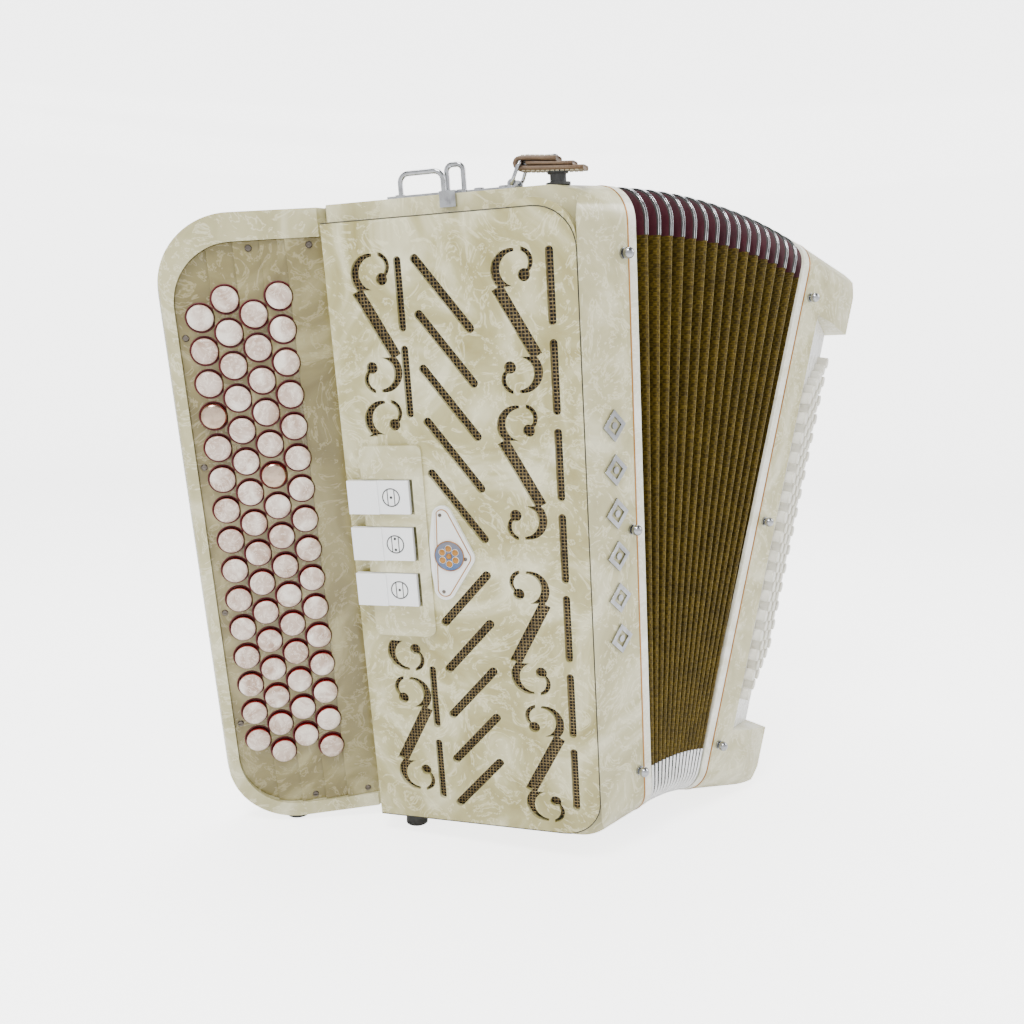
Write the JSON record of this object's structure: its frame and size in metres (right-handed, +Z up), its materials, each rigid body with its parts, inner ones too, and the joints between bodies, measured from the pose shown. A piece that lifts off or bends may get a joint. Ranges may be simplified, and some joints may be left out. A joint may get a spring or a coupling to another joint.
{
  "type": "chromatic button accordion",
  "caption": "Chromatic button accordion with pearl boxes, stepped fingerboard, scrolled grille, register switches, fanned folding bellows, bass buttons and hand strap.",
  "frame": {"origin": "on the floor plane under the middle of the bounding box", "axes": "X along the bellows from the treble box to the bass box, +Y from the audience side to the player's side, +Z up"},
  "size_m": [0.4327, 0.211, 0.4082],
  "materials": {
    "pearl": "pearl celluloid",
    "frame_white": "celluloid",
    "gold": "satin",
    "birch": "plain",
    "mesh": "woven wire",
    "button": "pearl",
    "mark": "glitter",
    "chrome_trim": "polished",
    "screw": "dark",
    "switch_white": "polished",
    "leather_brown": "grained",
    "rubber_black": "matt",
    "fold_cloth": "woven cloth over card",
    "white_board": "polished",
    "emblem_face": "enamel"
  },
  "bodies": {
    "treble_box": {"treble_casing": "pearl", "treble_gold_line": "gold", "treble_bellows_frame": "frame_white", "treble_soundboard": "birch", "treble_reed_blocks": "birch", "treble_grille": "pearl", "grille_mesh": "mesh", "register_block": "pearl", "emblem_plate": "emblem_face", "panel_ornaments": "chrome_trim", "fingerboard_housing": "pearl", "fingerboard_plate": "pearl", "fingerboard_screws": "screw", "treble_pins": "chrome_trim", "strap_bracket": "chrome_trim", "bellows_strap_plate": "chrome_trim", "bellows_strap_stud": "rubber_black", "treble_feet": "rubber_black"},
    "register_switch_high": {"register_switch_1": "switch_white"},
    "register_switch_mid": {"register_switch_2": "switch_white"},
    "register_switch_low": {"register_switch_3": "switch_white"},
    "treble_row_a": {"treble_buttons_a": "button", "reference_button_a": "mark"},
    "treble_row_b": {"treble_buttons_b": "button"},
    "treble_row_c": {"treble_buttons_c": "button", "reference_button_c": "mark"},
    "treble_row_d": {"treble_buttons_d": "button"},
    "bellows_strap_body": {"bellows_strap": "leather_brown"},
    "fold_1_body": {"fold_1": "fold_cloth"},
    "fold_2_body": {"fold_2": "fold_cloth"},
    "fold_3_body": {"fold_3": "fold_cloth"},
    "fold_4_body": {"fold_4": "fold_cloth"},
    "fold_5_body": {"fold_5": "fold_cloth"},
    "fold_6_body": {"fold_6": "fold_cloth"},
    "fold_7_body": {"fold_7": "fold_cloth"},
    "fold_8_body": {"fold_8": "fold_cloth"},
    "fold_9_body": {"fold_9": "fold_cloth"},
    "fold_10_body": {"fold_10": "fold_cloth"},
    "fold_11_body": {"fold_11": "fold_cloth"},
    "fold_12_body": {"fold_12": "fold_cloth"},
    "fold_13_body": {"fold_13": "fold_cloth"},
    "fold_14_body": {"fold_14": "fold_cloth"},
    "fold_15_body": {"fold_15": "fold_cloth"},
    "bass_row_1": {"bass_buttons_1": "white_board"},
    "bass_row_2": {"bass_buttons_2": "white_board"},
    "bass_row_3": {"bass_buttons_3": "white_board"},
    "bass_row_4": {"bass_buttons_4": "white_board"},
    "bass_row_5": {"bass_buttons_5": "white_board"},
    "bass_row_6": {"bass_buttons_6": "white_board"},
    "strap_wheel_body": {"strap_wheel": "chrome_trim"},
    "air_button_body": {"air_button": "white_board"},
    "bass_box": {"bass_bellows_frame": "frame_white", "bass_gold_line": "gold", "bass_casing": "pearl", "bass_button_board": "white_board", "bass_pins": "chrome_trim", "hand_strap": "leather_brown", "bass_feet": "rubber_black", "bass_reed_blocks": "birch"}
  },
  "joints": [
    {"name": "register_switch_low_rock", "type": "hinge", "parent": "treble_box", "child": "register_switch_low", "pos_m": [-0.11637, -0.00177, 0.16745], "axis": [-0.1045, 0, 0.9945], "range_deg": [-5, 5]},
    {"name": "register_switch_mid_rock", "type": "hinge", "parent": "treble_box", "child": "register_switch_mid", "pos_m": [-0.11929, -0.00177, 0.1953], "axis": [-0.1045, 0, 0.9945], "range_deg": [-5, 5]},
    {"name": "register_switch_high_rock", "type": "hinge", "parent": "treble_box", "child": "register_switch_high", "pos_m": [-0.12222, -0.00177, 0.22315], "axis": [-0.1045, 0, 0.9945], "range_deg": [-5, 5]},
    {"name": "treble_row_a_press", "type": "slide", "parent": "treble_box", "child": "treble_row_a", "axis": [0.473, 0.8796, 0.0497], "range_m": [0, 0.004], "stiffness_N_per_m": 150, "springref_m": -0.002},
    {"name": "treble_row_b_press", "type": "slide", "parent": "treble_box", "child": "treble_row_b", "axis": [0.473, 0.8796, 0.0497], "range_m": [0, 0.004], "stiffness_N_per_m": 150, "springref_m": -0.002},
    {"name": "treble_row_c_press", "type": "slide", "parent": "treble_box", "child": "treble_row_c", "axis": [0.473, 0.8796, 0.0497], "range_m": [0, 0.004], "stiffness_N_per_m": 150, "springref_m": -0.002},
    {"name": "treble_row_d_press", "type": "slide", "parent": "treble_box", "child": "treble_row_d", "axis": [0.473, 0.8796, 0.0497], "range_m": [0, 0.004], "stiffness_N_per_m": 150, "springref_m": -0.002},
    {"name": "bellows_strap_lift", "type": "hinge", "parent": "treble_box", "child": "bellows_strap_body", "pos_m": [-0.08188, -0.05695, 0.3944], "axis": [-0.8471, -0.524, -0.089], "range_deg": [0, 95]},
    {"name": "bellows_hinge", "type": "hinge", "parent": "treble_box", "child": "bass_box", "pos_m": [0.02789, -0.0036, 0.01867], "axis": [0, 1, 0], "range_deg": [-20.16, 24]},
    {"name": "fold_1_hinge", "type": "hinge", "parent": "treble_box", "child": "fold_1_body", "pos_m": [0.00661, -0.0036, 0.0192], "axis": [0, 1, 0], "range_deg": [-1.26, 1.5]},
    {"name": "fold_2_hinge", "type": "hinge", "parent": "fold_1_body", "child": "fold_2_body", "pos_m": [0.0095, -0.0036, 0.01943], "axis": [0, 1, 0], "range_deg": [-1.26, 1.5]},
    {"name": "fold_3_hinge", "type": "hinge", "parent": "fold_2_body", "child": "fold_3_body", "pos_m": [0.0124, -0.0036, 0.01961], "axis": [0, 1, 0], "range_deg": [-1.26, 1.5]},
    {"name": "fold_4_hinge", "type": "hinge", "parent": "fold_3_body", "child": "fold_4_body", "pos_m": [0.0153, -0.0036, 0.01972], "axis": [0, 1, 0], "range_deg": [-1.26, 1.5]},
    {"name": "fold_5_hinge", "type": "hinge", "parent": "fold_4_body", "child": "fold_5_body", "pos_m": [0.0182, -0.0036, 0.01977], "axis": [0, 1, 0], "range_deg": [-1.26, 1.5]},
    {"name": "fold_6_hinge", "type": "hinge", "parent": "fold_5_body", "child": "fold_6_body", "pos_m": [0.0211, -0.0036, 0.01975], "axis": [0, 1, 0], "range_deg": [-1.26, 1.5]},
    {"name": "fold_7_hinge", "type": "hinge", "parent": "fold_6_body", "child": "fold_7_body", "pos_m": [0.02399, -0.0036, 0.01967], "axis": [0, 1, 0], "range_deg": [-1.26, 1.5]},
    {"name": "fold_8_hinge", "type": "hinge", "parent": "fold_7_body", "child": "fold_8_body", "pos_m": [0.02689, -0.0036, 0.01952], "axis": [0, 1, 0], "range_deg": [-1.26, 1.5]},
    {"name": "fold_9_hinge", "type": "hinge", "parent": "fold_8_body", "child": "fold_9_body", "pos_m": [0.02978, -0.0036, 0.01931], "axis": [0, 1, 0], "range_deg": [-1.26, 1.5]},
    {"name": "fold_10_hinge", "type": "hinge", "parent": "fold_9_body", "child": "fold_10_body", "pos_m": [0.03267, -0.0036, 0.01904], "axis": [0, 1, 0], "range_deg": [-1.26, 1.5]},
    {"name": "fold_11_hinge", "type": "hinge", "parent": "fold_10_body", "child": "fold_11_body", "pos_m": [0.03555, -0.0036, 0.0187], "axis": [0, 1, 0], "range_deg": [-1.26, 1.5]},
    {"name": "fold_12_hinge", "type": "hinge", "parent": "fold_11_body", "child": "fold_12_body", "pos_m": [0.03842, -0.0036, 0.0183], "axis": [0, 1, 0], "range_deg": [-1.26, 1.5]},
    {"name": "fold_13_hinge", "type": "hinge", "parent": "fold_12_body", "child": "fold_13_body", "pos_m": [0.04129, -0.0036, 0.01784], "axis": [0, 1, 0], "range_deg": [-1.26, 1.5]},
    {"name": "fold_14_hinge", "type": "hinge", "parent": "fold_13_body", "child": "fold_14_body", "pos_m": [0.04414, -0.0036, 0.01731], "axis": [0, 1, 0], "range_deg": [-1.26, 1.5]},
    {"name": "fold_15_hinge", "type": "hinge", "parent": "fold_14_body", "child": "fold_15_body", "pos_m": [0.04698, -0.0036, 0.01672], "axis": [0, 1, 0], "range_deg": [-1.26, 1.5]},
    {"name": "bass_row_1_press", "type": "slide", "parent": "bass_box", "child": "bass_row_1", "axis": [-0.363, 0.9272, 0.0925], "range_m": [0, 0.0045], "stiffness_N_per_m": 120, "springref_m": -0.002},
    {"name": "bass_row_2_press", "type": "slide", "parent": "bass_box", "child": "bass_row_2", "axis": [-0.363, 0.9272, 0.0925], "range_m": [0, 0.0045], "stiffness_N_per_m": 120, "springref_m": -0.002},
    {"name": "bass_row_3_press", "type": "slide", "parent": "bass_box", "child": "bass_row_3", "axis": [-0.363, 0.9272, 0.0925], "range_m": [0, 0.0045], "stiffness_N_per_m": 120, "springref_m": -0.002},
    {"name": "bass_row_4_press", "type": "slide", "parent": "bass_box", "child": "bass_row_4", "axis": [-0.363, 0.9272, 0.0925], "range_m": [0, 0.0045], "stiffness_N_per_m": 120, "springref_m": -0.002},
    {"name": "bass_row_5_press", "type": "slide", "parent": "bass_box", "child": "bass_row_5", "axis": [-0.363, 0.9272, 0.0925], "range_m": [0, 0.0045], "stiffness_N_per_m": 120, "springref_m": -0.002},
    {"name": "bass_row_6_press", "type": "slide", "parent": "bass_box", "child": "bass_row_6", "axis": [-0.363, 0.9272, 0.0925], "range_m": [0, 0.0045], "stiffness_N_per_m": 120, "springref_m": -0.002},
    {"name": "strap_wheel_turn", "type": "hinge", "parent": "bass_box", "child": "strap_wheel_body", "pos_m": [0.17968, 0.0594, 0.37512], "axis": [0.2468, 0, 0.9691], "continuous": true},
    {"name": "air_button_press", "type": "slide", "parent": "bass_box", "child": "air_button_body", "axis": [-0.9691, 0, 0.2468], "range_m": [0, 0.006], "stiffness_N_per_m": 400, "springref_m": -0.002}
  ],
  "couplings": [
    {"joint": "fold_1_hinge", "follows": "bellows_hinge", "ratio": 0.0625},
    {"joint": "fold_2_hinge", "follows": "bellows_hinge", "ratio": 0.0625},
    {"joint": "fold_3_hinge", "follows": "bellows_hinge", "ratio": 0.0625},
    {"joint": "fold_4_hinge", "follows": "bellows_hinge", "ratio": 0.0625},
    {"joint": "fold_5_hinge", "follows": "bellows_hinge", "ratio": 0.0625},
    {"joint": "fold_6_hinge", "follows": "bellows_hinge", "ratio": 0.0625},
    {"joint": "fold_7_hinge", "follows": "bellows_hinge", "ratio": 0.0625},
    {"joint": "fold_8_hinge", "follows": "bellows_hinge", "ratio": 0.0625},
    {"joint": "fold_9_hinge", "follows": "bellows_hinge", "ratio": 0.0625},
    {"joint": "fold_10_hinge", "follows": "bellows_hinge", "ratio": 0.0625},
    {"joint": "fold_11_hinge", "follows": "bellows_hinge", "ratio": 0.0625},
    {"joint": "fold_12_hinge", "follows": "bellows_hinge", "ratio": 0.0625},
    {"joint": "fold_13_hinge", "follows": "bellows_hinge", "ratio": 0.0625},
    {"joint": "fold_14_hinge", "follows": "bellows_hinge", "ratio": 0.0625},
    {"joint": "fold_15_hinge", "follows": "bellows_hinge", "ratio": 0.0625}
  ]
}
